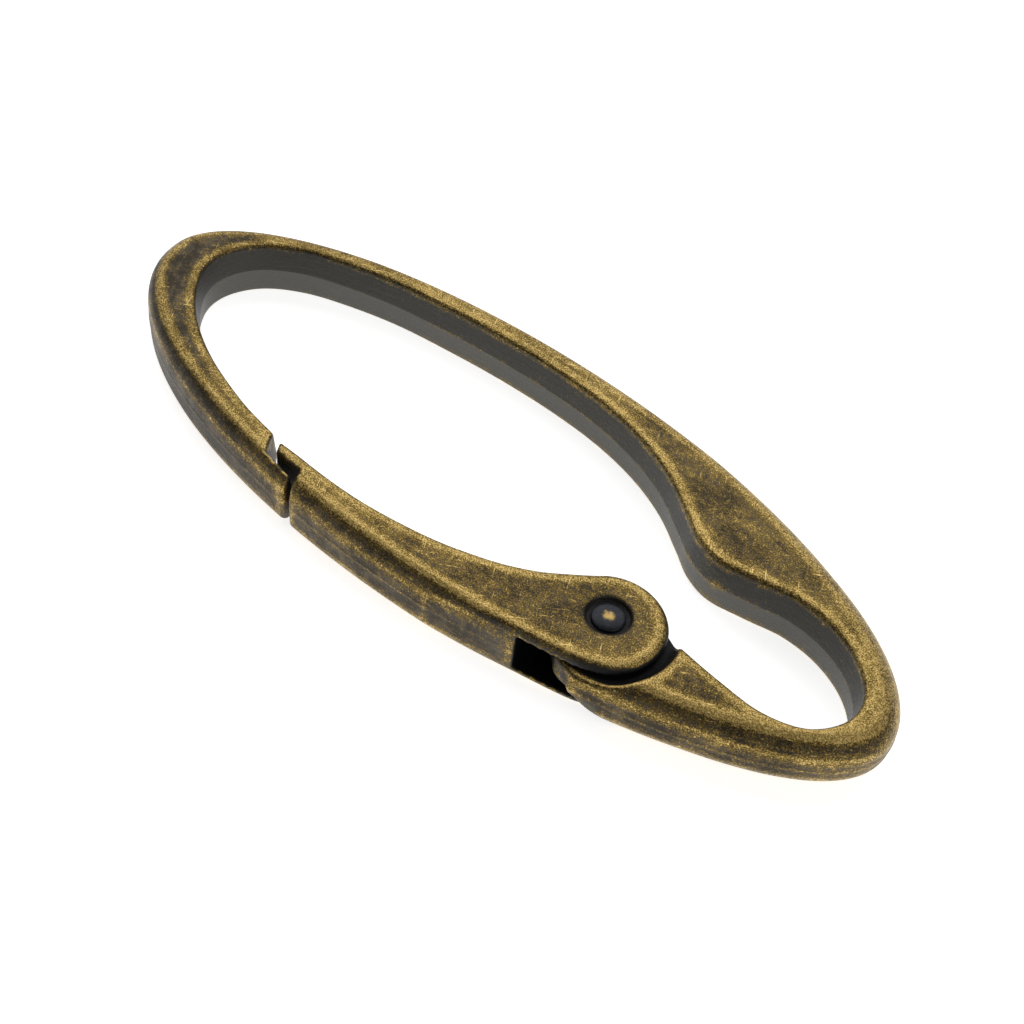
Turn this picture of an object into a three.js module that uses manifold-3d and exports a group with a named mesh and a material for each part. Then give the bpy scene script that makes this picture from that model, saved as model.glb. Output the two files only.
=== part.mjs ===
// Oval snap carabiner of cast zinc alloy, lying flat.
// Millimetres, +Z up. The origin is on the resting face, under the middle of the oval.
// X runs along the oval with the small eye at +X, and the gate is on the -Y side.
import * as THREE from 'three';
import { mergeVertices } from 'three/addons/utils/BufferGeometryUtils.js';
import Module from 'manifold-3d';

const wasm = await Module();
wasm.setup();

// Driving dimensions of the oval
const LENGTH = 80;
const WIDTH = 29.7;
const THICKNESS = 5.5;
const MID = THICKNESS / 2;
const NEAR_SKEW = -0.1; // the gate side is fuller towards the closed end
const FAR_SKEW = 0.02;
const SHOULDER = 1.2; // rounding of the outer edges
const DRAFT = 0.3; // how far the inner walls' mid ridge stands proud
const OUTSIDE = 4; // how far a cutting shape runs past the oval

// Hinge
const PIN = new THREE.Vector2(17.65, -6.45);
const EAR_CENTRE = new THREE.Vector2(17.9, -6.8); // the round ends sit slightly outside the pin
const EAR_RADIUS = 4.85;
const EAR_THICKNESS = 0.85;
const LUG_RADIUS = 4.6;
const LUG_THICKNESS = 3.24;
const SEAT_RADIUS = 5.9; // hollow shoulder that the ears swing past
const SHAFT_RADIUS = 0.95;
const EAR_BORE_RADIUS = 1;
const LUG_BORE_RADIUS = 1.03;
const HEAD_RADIUS = 1.4;
const RECESS_RADIUS = 1.84;
const RECESS_DEPTH = 0.45;
const HEAD_GAP = 0.05;

// Torsion spring round the rivet
const WIRE_RADIUS = 0.22;
const COIL_RADIUS = 1.6;
const COIL_TURNS = 2.5;
const COIL_PITCH = 0.55;
const POCKET_RADIUS = 2.3;
const POCKET_HEIGHT = 2.2;

const RIM_STEPS = 96;
const ROUND_STEPS = 32;

const at = (x, y) => new THREE.Vector2(x, y);

// A point around a centre, with the angle in degrees.
function around(centre, radius, degrees) {
  const angle = THREE.MathUtils.degToRad(degrees);
  return at(centre.x + radius * Math.cos(angle), centre.y + radius * Math.sin(angle));
}

function arc(centre, radius, fromDegrees, toDegrees, steps) {
  const points = [];
  for (let i = 0; i <= steps; i++) {
    points.push(around(centre, radius, fromDegrees + ((toDegrees - fromDegrees) * i) / steps));
  }
  return points;
}

function smooth(points, stepsPerSpan) {
  return new THREE.SplineCurve(points).getPoints((points.length - 1) * stepsPerSpan);
}

// The oval: each half is half an ellipse whose height leans along X by its skew.
function skewPeak(skew) {
  const u = (Math.sqrt(1 + 8 * skew * skew) - 1) / (4 * skew);
  return Math.sqrt(1 - u * u) * (1 + skew * u);
}

function ovalPoint(angle) {
  const u = Math.cos(angle);
  const v = Math.sin(angle);
  const skew = v < 0 ? NEAR_SKEW : FAR_SKEW;
  return at((LENGTH / 2) * u, ((WIDTH / 2) * v * (1 + skew * u)) / skewPeak(skew));
}

function nearEdge(x) {
  return ovalPoint(-Math.acos(x / (LENGTH / 2)));
}

// Solids from geometry, and geometry from solids
function solid(geometry) {
  const bare = geometry.index ? geometry.toNonIndexed() : geometry.clone();
  bare.deleteAttribute('normal');
  bare.deleteAttribute('uv');
  const merged = mergeVertices(bare, 1e-5);
  return new wasm.Manifold(new wasm.Mesh({
    numProp: 3,
    vertProperties: new Float32Array(merged.attributes.position.array),
    triVerts: new Uint32Array(merged.index.array),
  }));
}

function geometryOf(manifold) {
  const mesh = manifold.getMesh();
  const geometry = new THREE.BufferGeometry();
  geometry.setAttribute('position', new THREE.BufferAttribute(mesh.vertProperties, 3));
  geometry.setIndex(new THREE.BufferAttribute(mesh.triVerts, 1));
  geometry.computeVertexNormals();
  return geometry;
}

// A straight prism of an outline, centred on mid height.
function prism(points, height) {
  const geometry = new THREE.ExtrudeGeometry(new THREE.Shape(points), { depth: height, bevelEnabled: false });
  return solid(geometry.translate(0, 0, MID - height / 2));
}

// A prism with rounded edges whose widest outline is the one given.
function roundedPrism(points, height, radius, steps) {
  const geometry = new THREE.ExtrudeGeometry(new THREE.Shape(points), {
    depth: height - 2 * radius,
    bevelThickness: radius,
    bevelSize: radius,
    bevelOffset: -radius,
    bevelSegments: steps,
  });
  return solid(geometry.translate(0, 0, MID - height / 2 + radius));
}

// A cutter for an opening: it narrows towards mid height, as cast walls do.
function draftedCutter(points) {
  const reach = MID + DRAFT / 2;
  const land = 0.1;
  const geometry = new THREE.ExtrudeGeometry(new THREE.Shape(points), {
    depth: land,
    bevelThickness: reach - land / 2,
    bevelSize: -DRAFT,
    bevelOffset: 0,
    bevelSegments: 1,
  });
  return solid(geometry.translate(0, 0, MID - land / 2));
}

function disc(centre, radius, height) {
  return prism(arc(centre, radius, 0, 360 - 360 / ROUND_STEPS, ROUND_STEPS - 1), height);
}

function ovalSolid() {
  const points = [];
  for (let i = 0; i < RIM_STEPS; i++) {
    points.push(ovalPoint((2 * Math.PI * (i + 0.5)) / RIM_STEPS));
  }
  return roundedPrism(points, THICKNESS, SHOULDER, 3);
}

// Stepped meeting of nose and gate tip
const NOSE_INNER = at(-14.75, -11.4);
const NOSE_STEP = at(-13.7, -13.25);
const TONGUE_END = at(-10.4, -13.7);
const LIP_END = at(-13.6, -11.65);
const LIP_OUTER = at(-13.05, -12.6);
const LIP_ROOT = at(-10.1, -12.8);
const TONGUE_FACE = at(-0.1, -1); // the way that the tongue's end face runs outwards
const GATE_FACE = at(0.3, -1); // and the gate's, across the gap
const SEAT_START = 19; // degrees round the ears' centre
const SEAT_END = -80;

// The frame's inner edge, from the nose round the closed end, spine, bump and small eye.
function innerEdge() {
  return smooth([
    NOSE_INNER, at(-19.8, -10.45), at(-25.4, -8.7), at(-29.9, -6.4), at(-33, -3.8), at(-34.9, -1),
    at(-35.1, 1.9), at(-33.6, 4.9), at(-30.5, 7.3), at(-26.4, 9), at(-21, 10.5), at(-15, 11.4),
    at(-9, 12), at(-3, 12.2), at(2.5, 11.9), at(7.5, 10.9), at(11.8, 9.2), at(15.4, 6.9),
    at(17.9, 5.2), at(20.6, 4.45), at(24, 5), at(27.5, 5.7), at(31, 5.35), at(34.2, 3.9),
    at(36.4, 1.5), at(36.7, -1.3), at(34.9, -4.1), at(31.5, -5.4), at(27.3, -5.3),
    around(EAR_CENTRE, SEAT_RADIUS, SEAT_START),
  ], 3);
}

// Everything the frame is open to: the big opening, the eye and the bay that the gate fills.
function frameOpening() {
  const bay = [
    ...arc(EAR_CENTRE, SEAT_RADIUS, SEAT_START, SEAT_END, 14).slice(1),
    at(EAR_CENTRE.x + 1, -WIDTH / 2 - OUTSIDE),
    TONGUE_END.clone().addScaledVector(TONGUE_FACE, OUTSIDE),
    TONGUE_END,
    NOSE_STEP,
  ];
  return draftedCutter([...innerEdge(), ...bay]);
}

// The thinner lug that stands between the gate's ears, with its tail along the oval.
function lug(oval) {
  const corner = around(EAR_CENTRE, SEAT_RADIUS, SEAT_START);
  const root = prism([
    around(EAR_CENTRE, LUG_RADIUS, 60), around(EAR_CENTRE, LUG_RADIUS + 0.35, 36),
    at(corner.x + 0.5, corner.y - 0.1), at(corner.x + 0.5, -10), nearEdge(21.4), at(19.3, -12.05),
    at(17.7, -12), at(16.8, -11.75), at(16.2, -11.2), around(EAR_CENTRE, LUG_RADIUS, 215), EAR_CENTRE,
  ], LUG_THICKNESS);
  return disc(EAR_CENTRE, LUG_RADIUS, LUG_THICKNESS).add(root).intersect(oval);
}

function springPocket() {
  const mouth = prism([
    at(PIN.x, PIN.y - POCKET_RADIUS), at(PIN.x, PIN.y + 0.3),
    at(PIN.x - 2 * LUG_RADIUS, PIN.y + 0.3), at(PIN.x - 2 * LUG_RADIUS, PIN.y - POCKET_RADIUS),
  ], POCKET_HEIGHT);
  return disc(PIN, POCKET_RADIUS, POCKET_HEIGHT).add(mouth);
}

function body(oval) {
  const frame = oval.subtract(frameOpening()).add(lug(oval));
  return frame.subtract(springPocket()).subtract(disc(PIN, LUG_BORE_RADIUS, 2 * THICKNESS));
}

// The ears' outer line leaves the oval and runs into the round end.
function earLine() {
  return smooth([
    around(EAR_CENTRE, EAR_RADIUS, -60), at(18.8, -11.75), at(16.4, -12.35), at(13.6, -12.9), at(10, -13.65),
    nearEdge(6),
  ], 3);
}

// The lever's inner edge and tip; the round end and ear line come from earRounding.
const EAR_JOIN = around(EAR_CENTRE, EAR_RADIUS, 138);

function gateOutline() {
  return [
    LIP_END,
    ...smooth([
      at(-12.6, -11.65), at(-8.5, -11.65), at(-4.5, -11.5), at(-0.5, -10.95), at(3.5, -10.05),
      at(7.3, -8.65), at(10.4, -6.9), at(12.6, -5.1), EAR_JOIN,
    ], 2),
    at(EAR_JOIN.x + OUTSIDE, EAR_JOIN.y + 1.2 * OUTSIDE),
    at(LENGTH, EAR_JOIN.y + 1.2 * OUTSIDE),
    at(LENGTH, -WIDTH),
    LIP_ROOT.clone().addScaledVector(GATE_FACE, OUTSIDE),
    LIP_ROOT,
    LIP_OUTER,
  ];
}

// The ears' round end and outer line with their rounded edge, clear of the rest of the gate.
function earRounding() {
  const radius = 0.8;
  const clear = 2 * WIDTH;
  return roundedPrism([
    at(-LENGTH, clear), at(EAR_JOIN.x, clear), ...arc(EAR_CENTRE, EAR_RADIUS, 138, -54, 20), ...earLine(),
    at(5, -clear), at(-LENGTH, -clear),
  ], THICKNESS, radius, 2);
}

function earSlot() {
  const height = THICKNESS - 2 * EAR_THICKNESS;
  return prism([
    at(13.9, -WIDTH), at(13.6, -12.9), at(12.5, -9), at(12.6, -4.5), at(12.9, WIDTH),
    at(LENGTH, WIDTH), at(LENGTH, -WIDTH),
  ], height);
}

function gate(oval) {
  const recesses = disc(PIN, RECESS_RADIUS, THICKNESS + 1)
    .subtract(disc(PIN, 2 * RECESS_RADIUS, THICKNESS - 2 * RECESS_DEPTH));
  return oval
    .intersect(prism(gateOutline(), 2 * THICKNESS))
    .intersect(earRounding())
    .subtract(earSlot())
    .subtract(disc(PIN, EAR_BORE_RADIUS, 2 * THICKNESS))
    .subtract(recesses);
}

// Shaft with a domed head at each end, turned about the pin's axis.
function rivetGeometry() {
  const top = MID - 0.05;
  const seat = MID - RECESS_DEPTH + HEAD_GAP;
  const profile = [];
  const steps = 5;
  for (const side of [-1, 1]) {
    const head = [];
    for (let i = 0; i <= steps; i++) {
      const angle = (Math.PI / 2) * (1 - i / steps);
      head.push(at(HEAD_RADIUS * Math.cos(angle), side * (seat + 0.08 + (top - seat - 0.08) * Math.sin(angle))));
    }
    head.push(at(HEAD_RADIUS, side * seat), at(SHAFT_RADIUS, side * seat));
    profile.push(...(side < 0 ? head : head.reverse()));
  }
  const geometry = new THREE.LatheGeometry(profile, 24);
  return geometryOf(solid(geometry.rotateX(Math.PI / 2)));
}

// Coil about the pin, with one leg out to the gate and one held in the lug's pocket.
class SpringPath extends THREE.Curve {
  getPoint(t) {
    const turn = 2 * Math.PI * COIL_TURNS;
    const leg = 3.2;
    const coilLength = turn * COIL_RADIUS;
    const total = coilLength + leg;
    const along = t * total - leg;
    const angle = (Math.max(along, 0) / coilLength) * turn - Math.PI / 2;
    const z = (Math.max(along, 0) / coilLength - 0.5) * COIL_TURNS * COIL_PITCH;
    const x = COIL_RADIUS * Math.cos(angle) + Math.min(along, 0);
    return new THREE.Vector3(x, COIL_RADIUS * Math.sin(angle), z);
  }
}

function springGeometry() {
  const section = new THREE.Shape(arc(at(0, 0), WIRE_RADIUS, 0, 315, 7));
  return new THREE.ExtrudeGeometry(section, { steps: 64, extrudePath: new SpringPath() });
}

function material(color, roughness, metalness) {
  return new THREE.MeshStandardMaterial({ color, roughness, metalness });
}

function named(name, geometry, look) {
  const mesh = new THREE.Mesh(geometry, look);
  mesh.name = name;
  return mesh;
}

const oval = ovalSolid();
const carabiner = new THREE.Group();
carabiner.add(named('body', geometryOf(body(oval)), material(0x8a6a2c, 0.42, 0.9)));
carabiner.add(named('gate', geometryOf(gate(oval)), material(0x93702c, 0.42, 0.9)));

const hinge = new THREE.Group();
hinge.position.set(PIN.x, PIN.y, MID);
hinge.add(named('pivot_rivet', rivetGeometry(), material(0x4c463a, 0.38, 0.9)));
hinge.add(named('torsion_spring', springGeometry(), material(0x6d6d6b, 0.35, 1)));
carabiner.add(hinge);

export default carabiner;
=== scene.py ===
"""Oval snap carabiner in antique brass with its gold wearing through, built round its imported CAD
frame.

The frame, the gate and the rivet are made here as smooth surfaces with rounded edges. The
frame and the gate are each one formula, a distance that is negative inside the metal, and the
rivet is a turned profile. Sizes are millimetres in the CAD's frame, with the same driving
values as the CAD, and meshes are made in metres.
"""

import math

import bpy
import numpy as np
from mathutils import Matrix, Vector


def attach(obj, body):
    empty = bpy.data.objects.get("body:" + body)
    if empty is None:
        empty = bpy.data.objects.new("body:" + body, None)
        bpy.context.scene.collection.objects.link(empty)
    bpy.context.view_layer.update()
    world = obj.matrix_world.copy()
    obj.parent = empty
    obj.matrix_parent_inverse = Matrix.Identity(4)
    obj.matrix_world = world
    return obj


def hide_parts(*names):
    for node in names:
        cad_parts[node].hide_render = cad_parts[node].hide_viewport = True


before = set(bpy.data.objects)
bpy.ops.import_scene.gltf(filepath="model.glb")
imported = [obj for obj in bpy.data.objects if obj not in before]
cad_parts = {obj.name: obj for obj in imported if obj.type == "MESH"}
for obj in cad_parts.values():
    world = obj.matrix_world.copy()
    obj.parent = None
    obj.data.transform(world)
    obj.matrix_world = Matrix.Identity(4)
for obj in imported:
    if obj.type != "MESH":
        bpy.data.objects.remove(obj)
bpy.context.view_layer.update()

MM = 0.001

# Driving sizes, as in the CAD
LENGTH = 80
WIDTH = 29.7
THICKNESS = 5.5
MID = THICKNESS / 2
NEAR_SKEW = -0.1
FAR_SKEW = 0.02
DRAFT = 0.3
OUTSIDE = 4
PIN = (17.65, -6.45)
EAR_CENTRE = (17.9, -6.8)
EAR_RADIUS = 4.85
EAR_THICKNESS = 0.85
LUG_RADIUS = 4.6
LUG_THICKNESS = 3.24
SEAT_RADIUS = 5.9
SEAT_START = 19
SEAT_END = -80
SHAFT_RADIUS = 0.95
EAR_BORE_RADIUS = 1
LUG_BORE_RADIUS = 1.03
HEAD_RADIUS = 1.4
RECESS_RADIUS = 1.84
RECESS_DEPTH = 0.45
HEAD_GAP = 0.05
HEAD_SUNK = 0.05
HEAD_LIP = 0.08
POCKET_RADIUS = 2.3
POCKET_HEIGHT = 2.2
POCKET_LENGTH = 6
POCKET_MOUTH = 0.3

# Stepped meeting of nose and gate tip
NOSE_INNER = (-14.75, -11.4)
NOSE_STEP = (-13.7, -13.25)
TONGUE_END = (-10.4, -13.7)
LIP_END = (-13.6, -11.65)
LIP_OUTER = (-13.05, -12.6)
LIP_ROOT = (-10.1, -12.8)
TONGUE_FACE = (-0.1, -1)
GATE_FACE = (0.3, -1)

# Edge rounding: along the oval's length from -1 to 1, and for each kind of edge.
# The gate side's upper shoulder is broader and deeper than the rest, and the lug's visible tail
# is undercut.
SHOULDER_AT = (-1, -0.6, -0.2, 0.35, 0.7, 1)
SHOULDER = (1.3, 0.9, 1.0, 1.3, 2.1, 2.2)
NEAR_SHOULDER_WIDTH = (1.5, 1.6, 1.6, 1.6, 2.1, 2.2)
NEAR_SHOULDER_DEPTH = (1.5, 2.1, 2.2, 2.1, 2.1, 2.2)
PARTING_LINE = 0.05
PARTING_WIDTH = 0.16
RIM = 0.35
TIP_EDGE = 0.2
TIP_EDGE_REACH = (2, 5)
EAR_EDGE = 0.8
EAR_EDGE_X = (6, 14)
LUG_EDGE = 0.4
LUG_UNDERCUT = 2.2
LUG_UNDERCUT_Y = (-9.5, -11)
SEAT_FILLET = 0.9
SLOT_EDGE = 0.18

# Meshing: the plan is sampled finely and the surface on every second sample
PLAN_STEP = 0.1
GRID_STRIDE = 2
MARGIN = 0.6
RELAX = 0.5
EDGE_ROUNDS = 14
BROAD_ROUNDS = 90
STREAK_RADIUS = 0.36 * LENGTH

# Colours, as linear red, green, blue and alpha, each pair from dark to light
PATINA = ((0.036, 0.028, 0.016, 1), (0.078, 0.065, 0.049, 1))
# Inner walls: painted shade, lighter where a painted floor reflection falls on the lower half
INNER_WALL = ((0.052, 0.050, 0.044, 1), (0.105, 0.102, 0.09, 1))
WORN_BRASS = ((0.11, 0.073, 0.018, 1), (0.27, 0.18, 0.045, 1))
BRIGHT_BRASS = ((0.27, 0.178, 0.045, 1), (0.80, 0.58, 0.22, 1))
# Near-black of painted shade in the seats under the ears, the rivet's recess and the slot; in the seats
# partly dark patina
SEAT_BLACK = (0.012, 0.0125, 0.0145, 1)
RIVET_BLACK = (0.026, 0.028, 0.034, 1)
RIVET_CROWN = (0.5, 0.34, 0.11, 1)
STEEL = ((0.3, 0.3, 0.3, 1), (0.55, 0.55, 0.54, 1))


def around(centre, radius, degrees):
    """A point round a centre, with the angle in degrees."""
    angle = math.radians(degrees)
    return (centre[0] + radius * math.cos(angle), centre[1] + radius * math.sin(angle))


def arc(centre, radius, start, end, steps):
    return [around(centre, radius, start + (end - start) * i / steps) for i in range(steps + 1)]


def smooth(points, steps=12):
    """A Catmull-Rom spline through the points."""
    points = np.array(points, float)
    padded = np.concatenate([points[:1], points, points[-1:]])
    t = np.linspace(0, 1, steps, endpoint=False)[:, None]
    spans = []
    for a, b, c, d in zip(padded, padded[1:], padded[2:], padded[3:]):
        v0, v1 = (c - a) / 2, (d - b) / 2
        spans.append(
            (2 * b - 2 * c + v0 + v1) * t**3 + (3 * c - 3 * b - 2 * v0 - v1) * t**2 + v0 * t + b
        )
    return [tuple(p) for p in np.concatenate([*spans, points[-1:]])]


def skew_peak(skew):
    u = (math.sqrt(1 + 8 * skew * skew) - 1) / (4 * skew)
    return math.sqrt(1 - u * u) * (1 + skew * u)


def oval_point(angle):
    u, v = math.cos(angle), math.sin(angle)
    skew = NEAR_SKEW if v < 0 else FAR_SKEW
    return (LENGTH / 2 * u, WIDTH / 2 * v * (1 + skew * u) / skew_peak(skew))


def near_edge(x):
    return oval_point(-math.acos(x / (LENGTH / 2)))


def oval_outline():
    steps = 480
    return [oval_point(2 * math.pi * i / steps) for i in range(steps)]


def opening_outline():
    """The big opening, the small eye and the bay that the gate fills."""
    inner = smooth([
        NOSE_INNER, (-19.8, -10.45), (-25.4, -8.7), (-29.9, -6.4), (-33, -3.8), (-34.9, -1),
        (-35.1, 1.9), (-33.6, 4.9), (-30.5, 7.3), (-26.4, 9), (-21, 10.5), (-15, 11.4),
        (-9, 12), (-3, 12.2), (2.5, 11.9), (7.5, 10.9), (11.8, 9.2), (15.4, 6.9),
        (17.9, 5.2), (20.6, 4.45), (24, 5), (27.5, 5.7), (31, 5.35), (34.2, 3.9),
        (36.4, 1.5), (36.7, -1.3), (34.9, -4.1), (31.5, -5.4), (27.3, -5.3),
        around(EAR_CENTRE, SEAT_RADIUS, SEAT_START),
    ])
    seat = arc(EAR_CENTRE, SEAT_RADIUS, SEAT_START, SEAT_END, 24)[1:]
    beyond = (EAR_CENTRE[0] + 1, -WIDTH / 2 - OUTSIDE)
    tongue_beyond = (TONGUE_END[0] + TONGUE_FACE[0] * OUTSIDE, TONGUE_END[1] + TONGUE_FACE[1] * OUTSIDE)
    return [*inner, *seat, beyond, tongue_beyond, TONGUE_END, NOSE_STEP]


def lug_outline():
    """The lug's round end and its tail, which runs out past the oval."""
    corner = around(EAR_CENTRE, SEAT_RADIUS, SEAT_START)
    tail = smooth([(19.3, -12.05), (17.7, -12), (16.8, -11.75), (16.2, -11.2),
                   around(EAR_CENTRE, LUG_RADIUS, 215)], 4)
    return [
        around(EAR_CENTRE, LUG_RADIUS + 0.35, 36), (corner[0] + 0.8, corner[1] - 0.1),
        (corner[0] + 0.8, -10), (26, -15), (21.6, -12.6), *tail,
        *arc(EAR_CENTRE, LUG_RADIUS, 210, 60, 30),
    ]


def gate_outline():
    tip = (LIP_ROOT[0] + GATE_FACE[0] * OUTSIDE, LIP_ROOT[1] + GATE_FACE[1] * OUTSIDE)
    inner = smooth([
        (-12.6, -11.65), (-8.5, -11.65), (-4.5, -11.5), (-0.5, -10.95), (3.5, -10.05),
        (7.3, -8.65), (10.4, -6.9), (12.6, -5.1), around(EAR_CENTRE, EAR_RADIUS, 138),
    ])
    ear_line = smooth([
        around(EAR_CENTRE, EAR_RADIUS, -60), (18.8, -11.75), (16.4, -12.35), (13.6, -12.9),
        (10, -13.65), near_edge(6),
    ])
    return [
        LIP_END, *inner, *arc(EAR_CENTRE, EAR_RADIUS, 132, -54, 60), *ear_line,
        (5, -WIDTH / 2 - OUTSIDE), tip, LIP_ROOT, LIP_OUTER,
    ]


def slot_outline():
    far = LENGTH
    return [
        (13.75, -far), (13.6, -12.9), (12.5, -9), (12.6, -4.5), (12.9, far), (far, far), (far, -far),
    ]


OUTLINES = {
    "oval": oval_outline,
    "opening": opening_outline,
    "lug": lug_outline,
    "gate": gate_outline,
    "slot": slot_outline,
}


def signed_distance(outline, x, y):
    """Distance from a closed outline, negative inside it."""
    nearest = np.full(x.shape, np.inf)
    inside = np.zeros(x.shape, bool)
    for (ax, ay), (bx, by) in zip(outline, [*outline[1:], outline[0]]):
        ex, ey = bx - ax, by - ay
        length_squared = ex * ex + ey * ey
        if length_squared == 0:
            continue
        along = np.clip(((x - ax) * ex + (y - ay) * ey) / length_squared, 0, 1)
        np.minimum(nearest, (x - ax - along * ex) ** 2 + (y - ay - along * ey) ** 2, out=nearest)
        if ay != by:
            inside ^= ((ay > y) != (by > y)) & (x < ex * (y - ay) / ey + ax)
    return np.where(inside, -1, 1) * np.sqrt(nearest)


PLAN_X = np.arange(-LENGTH / 2 - MARGIN, LENGTH / 2 + MARGIN, PLAN_STEP)
PLAN_Y = np.arange(-WIDTH / 2 - MARGIN, WIDTH / 2 + MARGIN, PLAN_STEP)
PLAN_GRID = np.meshgrid(PLAN_X, PLAN_Y, indexing="ij")
PLAN = np.stack([signed_distance(make(), *PLAN_GRID) for make in OUTLINES.values()], axis=-1)


def from_pin(x, y):
    return np.hypot(x - PIN[0], y - PIN[1])


def look_up(x, y):
    """Each outline's distance at any points, read from the sampled plan."""
    i = np.clip((x - PLAN_X[0]) / PLAN_STEP, 0, len(PLAN_X) - 1.001)
    j = np.clip((y - PLAN_Y[0]) / PLAN_STEP, 0, len(PLAN_Y) - 1.001)
    i0, j0 = i.astype(int), j.astype(int)
    u, v = (i - i0)[..., None], (j - j0)[..., None]
    low = PLAN[i0, j0] * (1 - u) + PLAN[i0 + 1, j0] * u
    high = PLAN[i0, j0 + 1] * (1 - u) + PLAN[i0 + 1, j0 + 1] * u
    both = low * (1 - v) + high * v
    return dict(zip(OUTLINES, np.moveaxis(both, -1, 0)))


def ramp(value, start, end):
    """0 at the start and 1 at the end, smoothly."""
    t = np.clip((value - start) / (end - start), 0, 1)
    return t * t * (3 - 2 * t)


def rounded_max(a, b, radius):
    """What is inside both, with its outer edges rounded."""
    u, v = np.maximum(a + radius, 0), np.maximum(b + radius, 0)
    return np.minimum(np.maximum(a, b), -radius) + np.hypot(u, v)


def rounded_slab(side, level, width, depth):
    """A plate with oval rounding, from its plan distance and its distance past the faces."""
    u, v = side + width, (level + depth) * width / depth
    return np.minimum(np.maximum(u, v), 0) + np.hypot(np.maximum(u, 0), np.maximum(v, 0)) - width


def filleted_min(a, b, radius):
    """What is inside either, with the inner corner between them filled to a radius."""
    u, v = np.maximum(radius - a, 0), np.maximum(radius - b, 0)
    return np.maximum(np.minimum(a, b), radius) - np.hypot(u, v)


def cut(shape, tool, radius):
    return rounded_max(shape, -tool, radius)


def oval_shape(x, y, z, plan):
    """The whole oval with its shoulders and the thin parting line round its side."""
    u = x / (LENGTH / 2)
    shoulder = np.interp(u, SHOULDER_AT, SHOULDER)
    near = ramp(y, 1.5, -1.5) * ramp(z, MID - 0.5, MID + 0.5)
    width = shoulder + (np.interp(u, SHOULDER_AT, NEAR_SHOULDER_WIDTH) - shoulder) * near
    depth = shoulder + (np.interp(u, SHOULDER_AT, NEAR_SHOULDER_DEPTH) - shoulder) * near
    side = plan["oval"] - PARTING_LINE * np.exp(-(((z - MID) / PARTING_WIDTH) ** 2))
    return rounded_slab(side, np.abs(z - MID) - MID, width, depth)


def tip_edge(x, y, full):
    """Edge rounding that gets crisper at the meeting of nose and gate."""
    reach = np.hypot(x - LIP_OUTER[0], y - LIP_OUTER[1])
    return TIP_EDGE + (full - TIP_EDGE) * np.interp(reach, TIP_EDGE_REACH, (0, 1))


def draft(height):
    """How far the inner walls lean in: most at the parting line and almost nothing at the faces."""
    return DRAFT * (1 - height / (MID + DRAFT / 2))


def lug_shape(y, z, height, plan):
    under = ramp(z, MID + 0.1, MID - 0.1) * ramp(y, *LUG_UNDERCUT_Y)
    lug_width = LUG_EDGE + (LUG_UNDERCUT - LUG_EDGE) * under
    lug_depth = LUG_EDGE + (LUG_THICKNESS / 2 - LUG_EDGE) * under
    return rounded_slab(plan["lug"], height - LUG_THICKNESS / 2, lug_width, lug_depth)


def spring_pocket(x, y, height):
    """A round room about the pin, with its way out to the gate."""
    mouth_x = np.abs(x - PIN[0] + POCKET_LENGTH / 2) - POCKET_LENGTH / 2
    mouth_y = np.maximum(y - PIN[1] - POCKET_MOUTH, PIN[1] - POCKET_RADIUS - y)
    room = np.minimum(from_pin(x, y) - POCKET_RADIUS, np.maximum(mouth_x, mouth_y))
    return np.maximum(room, height - POCKET_HEIGHT / 2)


def frame_shape(x, y, z, plan):
    height = np.abs(z - MID)
    bar = -plan["opening"] - draft(height)
    metal = filleted_min(bar, lug_shape(y, z, height, plan), SEAT_FILLET)
    shape = rounded_max(oval_shape(x, y, z, plan), metal, tip_edge(x, y, RIM))
    shape = cut(shape, spring_pocket(x, y, height), SLOT_EDGE)
    return cut(shape, from_pin(x, y) - LUG_BORE_RADIUS, SLOT_EDGE)


def gate_shape(x, y, z, plan):
    height = np.abs(z - MID)
    edge = np.interp(x, EAR_EDGE_X, (RIM, EAR_EDGE))
    shape = rounded_max(oval_shape(x, y, z, plan), plan["gate"], tip_edge(x, y, edge))
    shape = cut(shape, np.maximum(plan["slot"], height - (MID - EAR_THICKNESS)), SLOT_EDGE)
    reach = from_pin(x, y)
    recess = np.maximum(reach - RECESS_RADIUS, MID - RECESS_DEPTH - height)
    return np.maximum(cut(shape, recess, SLOT_EDGE), EAR_BORE_RADIUS - reach)


def surface_net(values, low, step):
    """Quads over the zero level of sampled values, with one point in each crossed cell."""
    inside = values < 0
    rows, columns, layers = (n - 1 for n in inside.shape)
    count = sum(
        inside[i:rows + i, j:columns + j, k:layers + k].astype(np.int8)
        for i in (0, 1) for j in (0, 1) for k in (0, 1)
    )
    crossed = (count > 0) & (count < 8)
    where = np.argwhere(crossed)
    index = np.full(crossed.shape, -1, np.int32)
    index[crossed] = np.arange(len(where))
    total, hits = np.zeros((len(where), 3)), np.zeros((len(where), 1))
    for axis in range(3):
        u, v = [a for a in range(3) if a != axis]
        for j in (0, 1):
            for k in (0, 1):
                start = where.copy()
                start[:, u] += j
                start[:, v] += k
                end = start.copy()
                end[:, axis] += 1
                a, b = values[tuple(start.T)], values[tuple(end.T)]
                hit = (a < 0) != (b < 0)
                point = start.astype(float)
                point[:, axis] += np.where(hit, a / np.where(hit, a - b, 1), 0)
                total += point * hit[:, None]
                hits += hit[:, None]
    quads = []
    for axis in range(3):
        u, v = np.eye(3, dtype=int)[(axis + 1) % 3], np.eye(3, dtype=int)[(axis + 2) % 3]
        first = np.take(inside, range(inside.shape[axis] - 1), axis)
        second = np.take(inside, range(1, inside.shape[axis]), axis)
        edge = np.argwhere(first != second)
        leaves = first[tuple(edge.T)]
        ring = np.stack([index[tuple(c.T)] for c in (edge - u - v, edge - v, edge, edge - u)], 1)
        quads.append(np.where(leaves[:, None], ring, ring[:, ::-1]))
    return low + step * total / hits, np.concatenate(quads)


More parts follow.
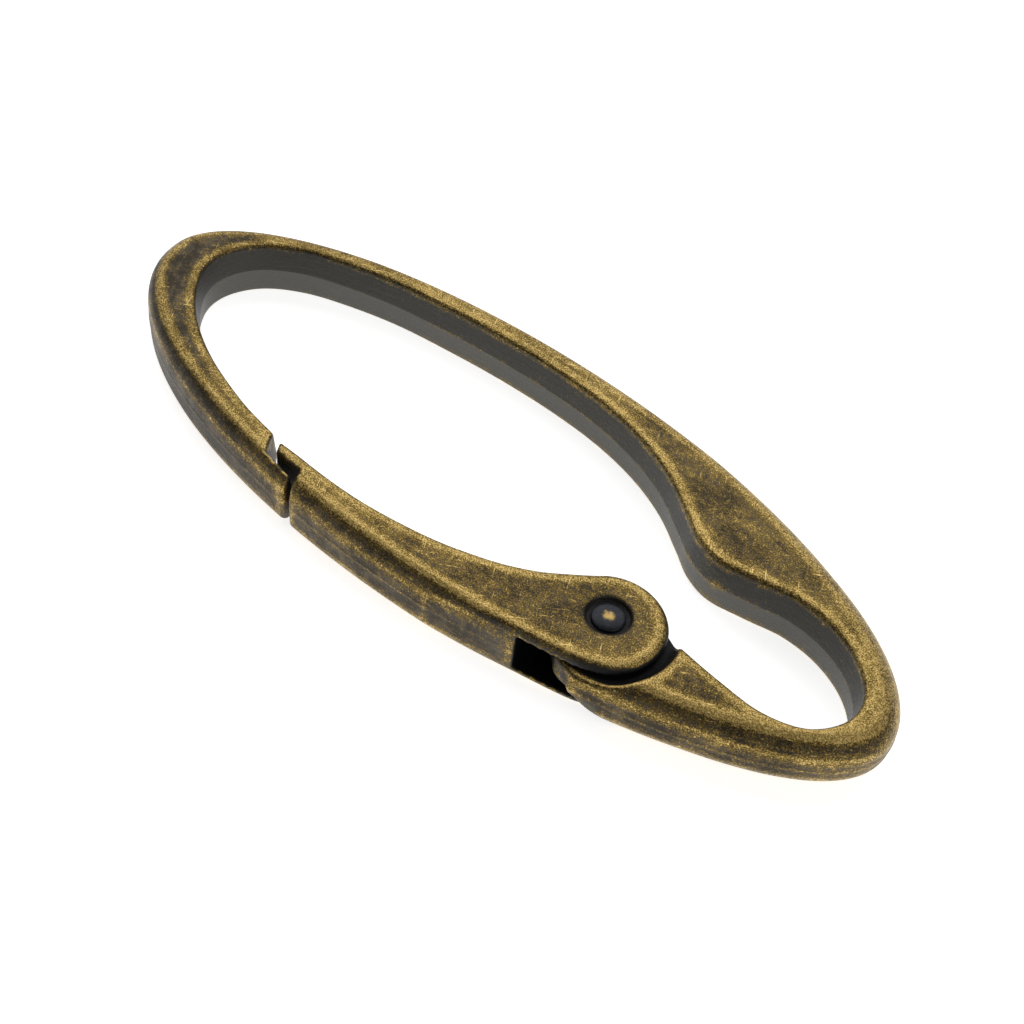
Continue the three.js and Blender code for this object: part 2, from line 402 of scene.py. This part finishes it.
def neighbour_mean(points, edges):
    total, count = np.zeros_like(points), np.bincount(edges.ravel(), minlength=len(points))
    for a, b in ((0, 1), (1, 0)):
        for k in range(points.shape[1]):
            total[:, k] += np.bincount(edges[:, a], points[edges[:, b], k], len(points))
    return total / count[:, None]


def settle(shape, points, edges, rounds=4):
    """Evens out the mesh and puts each point on the surface; gives points and normals."""
    def value(p):
        return shape(p[:, 0], p[:, 1], p[:, 2], look_up(p[:, 0], p[:, 1]))

    reach = 0.04
    longest_move = 0.1
    least_slope_squared = 0.25
    for step in range(rounds):
        if step < rounds - 1:
            points = points + RELAX * (neighbour_mean(points, edges) - points)
        rise = [value(points + d) - value(points - d) for d in reach * np.eye(3)]
        slope = np.stack(rise, 1) / (2 * reach)
        size = np.maximum(np.einsum("ij,ij->i", slope, slope), least_slope_squared)
        move = np.clip(value(points), -longest_move, longest_move) / size
        points = points - slope * move[:, None]
    return points, slope / np.linalg.norm(slope, axis=1)[:, None]


def bend(points, normals, edges, rounds):
    """How far the surface stands out of its own smoothed copy: positive on an edge."""
    relaxed = points
    for _ in range(rounds):
        relaxed = relaxed + RELAX * (neighbour_mean(relaxed, edges) - relaxed)
    height = np.einsum("ij,ij->i", points - relaxed, normals)[:, None]
    for _ in range(3):
        height = neighbour_mean(height, edges)
    return height[:, 0]


def add_attribute(mesh, name, values):
    kind = "FLOAT" if values.ndim == 1 else "FLOAT_VECTOR"
    data = mesh.attributes.new(name, kind, "POINT").data
    data.foreach_set("value" if values.ndim == 1 else "vector", values.astype(np.float32).ravel())


def painted_sheen_and_darkening(x, y, facing_up, plan):
    """Painted highlight on the near side's upward shoulders, above 0, and painted shade on the band
    below them, below 0; the outer sides and the closed end also go darker.
    """
    near = ramp(y, 4, -2) * ramp(plan["oval"], -3, -2)
    # Painted highlight on the near shoulders, then painted shade on the steeper band beneath them
    painted_highlight = ramp(facing_up, 0.8, 0.92) * ramp(facing_up, 1, 0.985)
    dark = ramp(facing_up, 0.3, 0.5) * ramp(facing_up, 0.88, 0.78)
    side = ramp(np.abs(facing_up), 0.4, 0.15) * ramp(plan["oval"], -1, -0.3)
    closed_end = ramp(x, -10, -30)
    return near * (painted_highlight * (1 + 0.4 * ramp(x, 18, 26)) - 1.4 * dark) - 0.8 * side - 0.8 * closed_end


def frame_tones(x, y, z, facing_up, plan):
    """Painted shade, partly dark patina, that makes the seats under the ears nearly black, and a painted
    floor reflection that greys the lug's underside.
    """
    from_ears = np.hypot(x - EAR_CENTRE[0], y - EAR_CENTRE[1])
    deep = ramp(from_ears, SEAT_RADIUS, SEAT_RADIUS - 0.5) * ramp(y, -11.9, -11)
    # Painted floor reflection: grey on the lower half by the opening
    grey = ramp(plan["opening"], 0.4, -0.2) * ramp(z, MID - 0.2, MID - 0.7)
    return deep * ramp(plan["oval"], -0.3, -0.7), grey


def gate_tones(x, y, z, facing_up, plan):
    """Painted shade that makes the rivet's recess, the slot and the side of the ears' round end nearly
    black.
    """
    recess = ramp(from_pin(x, y), RECESS_RADIUS + 0.05, RECESS_RADIUS - 0.12)
    rim = np.maximum(plan["oval"], plan["gate"])
    slot = ramp(plan["slot"], 0.2, 0.05) * ramp(rim, -0.1, -0.35)
    slot = slot * ramp(np.abs(z - MID), MID - EAR_THICKNESS + 0.1, MID - EAR_THICKNESS)
    ear_side = ramp(np.abs(facing_up), 0.75, 0.45) * ramp(x, 17.5, 20.5) * ramp(plan["gate"], -0.5, -0.3)
    return np.maximum(recess, np.maximum(slot, ear_side)), np.zeros(len(x))


def skin(shape):
    """The points, normals, faces and edges of a shape's surface."""
    step = PLAN_STEP * GRID_STRIDE
    coarse = (slice(None, None, GRID_STRIDE), slice(None, None, GRID_STRIDE))
    x, y = PLAN_GRID[0][coarse][..., None], PLAN_GRID[1][coarse][..., None]
    plan = {key: PLAN[..., i][coarse][..., None] for i, key in enumerate(OUTLINES)}
    z = np.arange(-1.5 * step, THICKNESS + 2 * step, step)[None, None, :]
    low = np.array([PLAN_X[0], PLAN_Y[0], z[0, 0, 0]])
    points, quads = surface_net(shape(x, y, z, plan), low, step)
    sides = np.concatenate([quads[:, [i, (i + 1) % 4]] for i in range(4)])
    edges = np.unique(np.sort(sides, axis=1), axis=0)
    points, normals = settle(shape, points, edges)
    return points, normals, quads, edges


def sculpted(name, shape, tones, seam):
    """A mesh object of a shape, with attributes for its material's wear and its painted light and shade.

    The streaks run round the oval, from a seam on its +Y side (1) or its -Y side (-1).
    """
    points, normals, quads, edges = skin(shape)
    mesh = bpy.data.meshes.new(name)
    mesh.from_pydata((points * MM).tolist(), [], quads.tolist())
    mesh.update()
    mesh.shade_smooth()
    x, y, z = points.T
    plan = look_up(x, y)
    facing_up = normals[:, 2]
    away_from_rivet = ramp(from_pin(x, y), 2, 3.2)
    add_attribute(mesh, "edge", away_from_rivet * bend(points, normals, edges, EDGE_ROUNDS))
    add_attribute(mesh, "broad", away_from_rivet * bend(points, normals, edges, BROAD_ROUNDS))
    deep, grey = tones(x, y, z, facing_up, plan)
    # Steep walls inside the outline get less gold, and a grey of painted shade and painted floor
    # reflection
    wall = ramp(np.abs(facing_up), 0.75, 0.35) * ramp(plan["oval"], -0.3, -0.8)
    add_attribute(mesh, "wall", np.maximum(wall, grey))
    # Painted highlight on the near shoulders and painted shade below them, plus darker outer sides and
    # closed end
    add_attribute(mesh, "painted_sheen_and_darkening", painted_sheen_and_darkening(x, y, facing_up, plan))
    # deep: painted shade that turns the seats, the recess and the slot near-black, partly dark patina in
    # the seats
    add_attribute(mesh, "deep", deep)
    turn = np.arctan2(seam * x, -seam * y * LENGTH / WIDTH)
    add_attribute(mesh, "flow", np.stack([turn * STREAK_RADIUS, plan["oval"], z], 1))
    piece = bpy.data.objects.new(name, mesh)
    bpy.context.scene.collection.objects.link(piece)
    return piece


def rivet():
    """Domed pin, turned about the hinge axis."""
    top = MID - HEAD_SUNK
    seat = MID - RECESS_DEPTH + HEAD_GAP
    dome = top - seat - HEAD_LIP
    dome_steps = 14
    shaft_steps = 12
    sides = 64
    head = [(HEAD_RADIUS * math.sin(a), top - dome + dome * math.cos(a))
            for a in (math.pi / 2 * i / dome_steps for i in range(1, dome_steps + 1))]
    head += [(HEAD_RADIUS, seat), (SHAFT_RADIUS, seat)]
    shaft = [(SHAFT_RADIUS, seat * (1 - 2 * i / shaft_steps)) for i in range(1, shaft_steps)]
    profile = head + shaft + [(r, -h) for r, h in reversed(head)]
    points, faces = [], []
    for i, (r, h) in enumerate(profile):
        for k in range(sides):
            a = 2 * math.pi * k / sides
            points.append(Vector((PIN[0] + r * math.cos(a), PIN[1] + r * math.sin(a), MID + h)) * MM)
            if i:
                j = (k + 1) % sides
                above, here = (i - 1) * sides, i * sides
                faces.append((above + k, here + k, here + j, above + j))
    crown, foot, last_ring = len(points), len(points) + 1, (len(profile) - 1) * sides
    points += [Vector((*PIN, MID + top)) * MM, Vector((*PIN, MID - top)) * MM]
    for k in range(sides):
        j = (k + 1) % sides
        faces += [(crown, k, j), (foot, last_ring + j, last_ring + k)]
    mesh = bpy.data.meshes.new("hinge_rivet")
    mesh.from_pydata(points, [], faces)
    mesh.update()
    mesh.shade_smooth()
    x, y, _ = np.array(points).T / MM
    add_attribute(mesh, "crown", ramp(from_pin(x, y), 0.8, 0.1))
    piece = bpy.data.objects.new("hinge_rivet", mesh)
    bpy.context.scene.collection.objects.link(piece)
    return piece


class Nodes:
    """Short calls for building one material's node tree."""

    def __init__(self, name):
        self.material = bpy.data.materials.new(name)
        self.material.use_nodes = True
        self.tree = self.material.node_tree
        self.shader = self.tree.nodes["Principled BSDF"]

    def add(self, kind, **settings):
        node = self.tree.nodes.new(kind)
        for key, value in settings.items():
            setattr(node, key, value)
        return node

    def put(self, value, socket):
        if isinstance(value, bpy.types.NodeSocket):
            self.tree.links.new(value, socket)
        else:
            socket.default_value = value

    def attribute(self, name, output="Fac"):
        return self.add("ShaderNodeAttribute", attribute_name=name).outputs[output]

    def place(self, scale=(1, 1, 1), source=None):
        """Object coordinates in millimetres, or another vector, scaled along each axis."""
        node = self.add("ShaderNodeMapping")
        if source is None:
            source = self.add("ShaderNodeTexCoord").outputs["Object"]
            scale = tuple(s / MM for s in scale)
        self.put(source, node.inputs["Vector"])
        node.inputs["Scale"].default_value = scale
        return node.outputs["Vector"]

    def lines(self, length, width, angle):
        """Fine straight scratches at an angle, with sizes in millimetres."""
        node = self.add("ShaderNodeMapping", vector_type="TEXTURE")
        self.put(self.add("ShaderNodeTexCoord").outputs["Object"], node.inputs["Vector"])
        node.inputs["Rotation"].default_value = (0, 0, math.radians(angle))
        node.inputs["Scale"].default_value = (length * MM, width * MM, width * MM)
        return self.span(self.noise(node.outputs["Vector"], 1, 2), 0.66, 0.74)

    def noise(self, where, scale, detail=4, roughness=0.55, distortion=0.0):
        node = self.add("ShaderNodeTexNoise")
        self.put(where, node.inputs["Vector"])
        node.inputs["Scale"].default_value = scale
        node.inputs["Detail"].default_value = detail
        node.inputs["Roughness"].default_value = roughness
        node.inputs["Distortion"].default_value = distortion
        return node.outputs["Fac"]

    def math(self, operation, a, b=0.0):
        node = self.add("ShaderNodeMath", operation=operation)
        self.put(a, node.inputs[0])
        self.put(b, node.inputs[1])
        return node.outputs[0]

    def span(self, value, low, high, to_low=0.0, to_high=1.0):
        """Moves one range of values onto another, smoothly, and holds it at both ends."""
        node = self.add("ShaderNodeMapRange", interpolation_type="SMOOTHSTEP")
        for key, number in (("Value", value), ("From Min", low), ("From Max", high),
                            ("To Min", to_low), ("To Max", to_high)):
            self.put(number, node.inputs[key])
        return node.outputs[0]

    def mix(self, amount, a, b):
        node = self.add("ShaderNodeMix", data_type="RGBA")
        self.put(amount, node.inputs[0])
        self.put(a, node.inputs[6])
        self.put(b, node.inputs[7])
        return node.outputs[2]

    def bump(self, height, strength, distance, below=None):
        node = self.add("ShaderNodeBump")
        node.inputs["Strength"].default_value = strength
        node.inputs["Distance"].default_value = distance * MM
        self.put(height, node.inputs["Height"])
        if below is not None:
            self.put(below, node.inputs["Normal"])
        return node.outputs["Normal"]


def antique_brass(name):
    """Dark patina with gold wearing through on edges, in specks and along streaks; with painted
    highlight on the near shoulders, painted shade in seats, recess and slot, and painted floor
    reflection on the inner walls.
    """
    n = Nodes(name)
    flow = n.attribute("flow", "Vector")
    grain = n.noise(n.place(), 2.6, 8, 0.7, 0.2)
    cloud = n.noise(n.place(), 0.35, 4, 0.6, 0.6)
    speck = n.noise(n.place(), 8, 3, 0.7)
    scratch = n.math("ADD", n.lines(2.2, 0.14, 35), n.lines(1.8, 0.12, -62))
    streak = n.noise(n.place((0.1, 3, 3), flow), 1.0, 5, 0.6, 0.2)
    edge = n.span(n.attribute("edge"), 0.002, 0.03)
    broad = n.span(n.attribute("broad"), 0.01, 0.16)
    hollow = n.span(n.attribute("edge"), -0.03, -0.003, 1, 0)
    wall = n.attribute("wall")
    deep = n.attribute("deep")
    level = n.add("ShaderNodeSeparateXYZ")
    n.put(flow, level.inputs[0])
    from_middle = n.math("ABSOLUTE", n.math("SUBTRACT", level.outputs[2], MID))
    parting = n.span(from_middle, 0.04, 0.16, 1, 0)
    # The sum mixes real wear with painted light: painted highlight and shade on the near shoulders,
    # painted shade in seats, recess and slot
    wear_and_painted_light = 0
    for amount, part in ((1.0, grain), (0.6, cloud), (0.45, streak), (1.3, speck), (0.22, edge),
                         (0.12, broad), (-0.5, hollow), (-0.36, wall), (0.14, parting), (0.3, scratch),
                         (0.22, n.attribute("painted_sheen_and_darkening")), (-0.9, deep)):
        wear_and_painted_light = n.math("ADD", n.math("MULTIPLY", part, amount), wear_and_painted_light)
    gold = n.span(wear_and_painted_light, 1.5, 1.86)
    bright = n.span(wear_and_painted_light, 1.78, 2.2)
    patina = n.mix(n.span(cloud, 0.4, 0.62), *PATINA)
    # Painted shade on the inner walls, with a lighter painted floor reflection below the middle
    wall_colour = n.mix(n.span(level.outputs[2], MID + 0.05, MID - 0.05), *INNER_WALL)
    patina = n.mix(wall, patina, wall_colour)
    # Painted shade: the seats, the recess and the slot go near-black
    patina = n.mix(deep, patina, SEAT_BLACK)
    glint = n.span(n.math("ADD", speck, n.math("MULTIPLY", scratch, 0.2)), 0.4, 0.66)
    colour = n.mix(gold, patina, n.mix(glint, *WORN_BRASS))
    colour = n.mix(bright, colour, n.mix(glint, *BRIGHT_BRASS))
    n.put(colour, n.shader.inputs["Base Color"])
    n.put(n.span(gold, 0, 1, 0.7, 1), n.shader.inputs["Metallic"])
    rough = n.span(n.math("SUBTRACT", speck, n.math("MULTIPLY", gold, 0.2)), 0.15, 0.7, 0.3, 0.55)
    n.put(rough, n.shader.inputs["Roughness"])
    casting = n.bump(grain, 0.5, 0.12)
    fine = n.bump(speck, 0.6, 0.045, casting)
    n.put(n.bump(streak, 0.5, 0.1, fine), n.shader.inputs["Normal"])
    return n.material


def dark_brass(name):
    """Rivet finish: bluish black patina, rubbed to gold on its crown."""
    n = Nodes(name)
    grain = n.noise(n.place(), 3, 6)
    gold = n.span(n.math("ADD", n.math("MULTIPLY", n.attribute("crown"), 0.6), grain), 0.62, 1.15)
    n.put(n.mix(gold, RIVET_BLACK, RIVET_CROWN), n.shader.inputs["Base Color"])
    n.put(n.span(grain, 0.3, 0.7, 0.3, 0.48), n.shader.inputs["Roughness"])
    n.shader.inputs["Metallic"].default_value = 0.85
    n.put(n.bump(grain, 0.3, 0.05), n.shader.inputs["Normal"])
    return n.material


def spring_steel(name):
    """Drawn wire: fine streaks across a bright grey."""
    n = Nodes(name)
    drawn = n.noise(n.place(), 9, 4)
    n.put(n.mix(drawn, *STEEL), n.shader.inputs["Base Color"])
    n.put(n.span(drawn, 0.3, 0.7, 0.25, 0.4), n.shader.inputs["Roughness"])
    n.shader.inputs["Metallic"].default_value = 1
    n.put(n.bump(drawn, 0.3, 0.02), n.shader.inputs["Normal"])
    return n.material


def dress(piece, material, body, node):
    """Gives a piece its material, puts it under its body and hides the CAD node it stands for."""
    piece.data.materials.clear()
    piece.data.materials.append(material)
    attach(piece, body)
    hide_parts(node)


brass = antique_brass("antique_brass")
dress(sculpted("carabiner_frame", frame_shape, frame_tones, -1), brass, "body", "body")
dress(sculpted("snap_gate", gate_shape, gate_tones, 1), brass, "gate", "gate")
dress(rivet(), dark_brass("rivet_patina"), "gate", "pivot_rivet")

# The spring keeps its CAD shape, with a wire finish
wire = spring_steel("spring_wire")
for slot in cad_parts["torsion_spring"].material_slots:
    slot.material = wire

# Camera at the photograph's angle, and the floor, in metres
TARGET = Vector((3.91, -1.7, MID)) * MM
AZIMUTH = math.radians(34.76)
ELEVATION = math.radians(48)
ROLL = math.radians(8)
DISTANCE = 126.45 * MM
LENS = 52.73
FLOOR_HALF = 2
FLOOR_GAP = 0.02 * MM


def add_camera():
    data = bpy.data.cameras.new("camera")
    data.lens = LENS
    data.clip_start = 0.005
    camera = bpy.data.objects.new("camera", data)
    bpy.context.scene.collection.objects.link(camera)
    back = Vector((
        math.sin(AZIMUTH) * math.cos(ELEVATION),
        -math.cos(AZIMUTH) * math.cos(ELEVATION),
        math.sin(ELEVATION),
    ))
    right = Vector((math.cos(AZIMUTH), math.sin(AZIMUTH), 0))
    up = back.cross(right)
    across = math.cos(ROLL) * right + math.sin(ROLL) * up
    upward = math.cos(ROLL) * up - math.sin(ROLL) * right
    turn = Matrix((across, upward, back)).transposed().to_4x4()
    camera.matrix_world = Matrix.Translation(TARGET + back * DISTANCE) @ turn
    bpy.context.scene.camera = camera


def add_floor():
    corners = [(u * FLOOR_HALF, v * FLOOR_HALF, 0) for u, v in ((-1, -1), (1, -1), (1, 1), (-1, 1))]
    mesh = bpy.data.meshes.new("floor")
    mesh.from_pydata(corners, [], [(0, 1, 2, 3)])
    n = Nodes("pale_floor")
    n.shader.inputs["Base Color"].default_value = (0.92, 0.92, 0.91, 1)
    n.shader.inputs["Roughness"].default_value = 0.9
    n.shader.inputs["Emission Color"].default_value = (1, 1, 1, 1)
    n.shader.inputs["Emission Strength"].default_value = 0.8
    mesh.materials.append(n.material)
    floor = bpy.data.objects.new("floor", mesh)
    floor.location.z = -FLOOR_GAP
    bpy.context.scene.collection.objects.link(floor)


def add_softbox(name, place, size, watts, aim=TARGET):
    data = bpy.data.lights.new(name, "AREA")
    data.shape = "RECTANGLE"
    data.size, data.size_y = size
    data.energy = watts
    light = bpy.data.objects.new(name, data)
    light.location = place
    light.rotation_mode = "QUATERNION"
    light.rotation_quaternion = (Vector(place) - aim).to_track_quat("Z", "Y")
    bpy.context.scene.collection.objects.link(light)


def add_world():
    world = bpy.data.worlds.new("studio")
    world.use_nodes = True
    world.node_tree.nodes["Background"].inputs["Color"].default_value = (1, 1, 1, 1)
    world.node_tree.nodes["Background"].inputs["Strength"].default_value = 0.14
    bpy.context.scene.world = world


add_camera()
add_floor()
add_world()
add_softbox("key", (-0.23, 0.33, 0.45), (0.9, 0.6), 2.6)
add_softbox("side", (0.5, 0.0, 0.3), (0.3, 0.3), 0.5)
bpy.context.scene.view_settings.view_transform = "Standard"
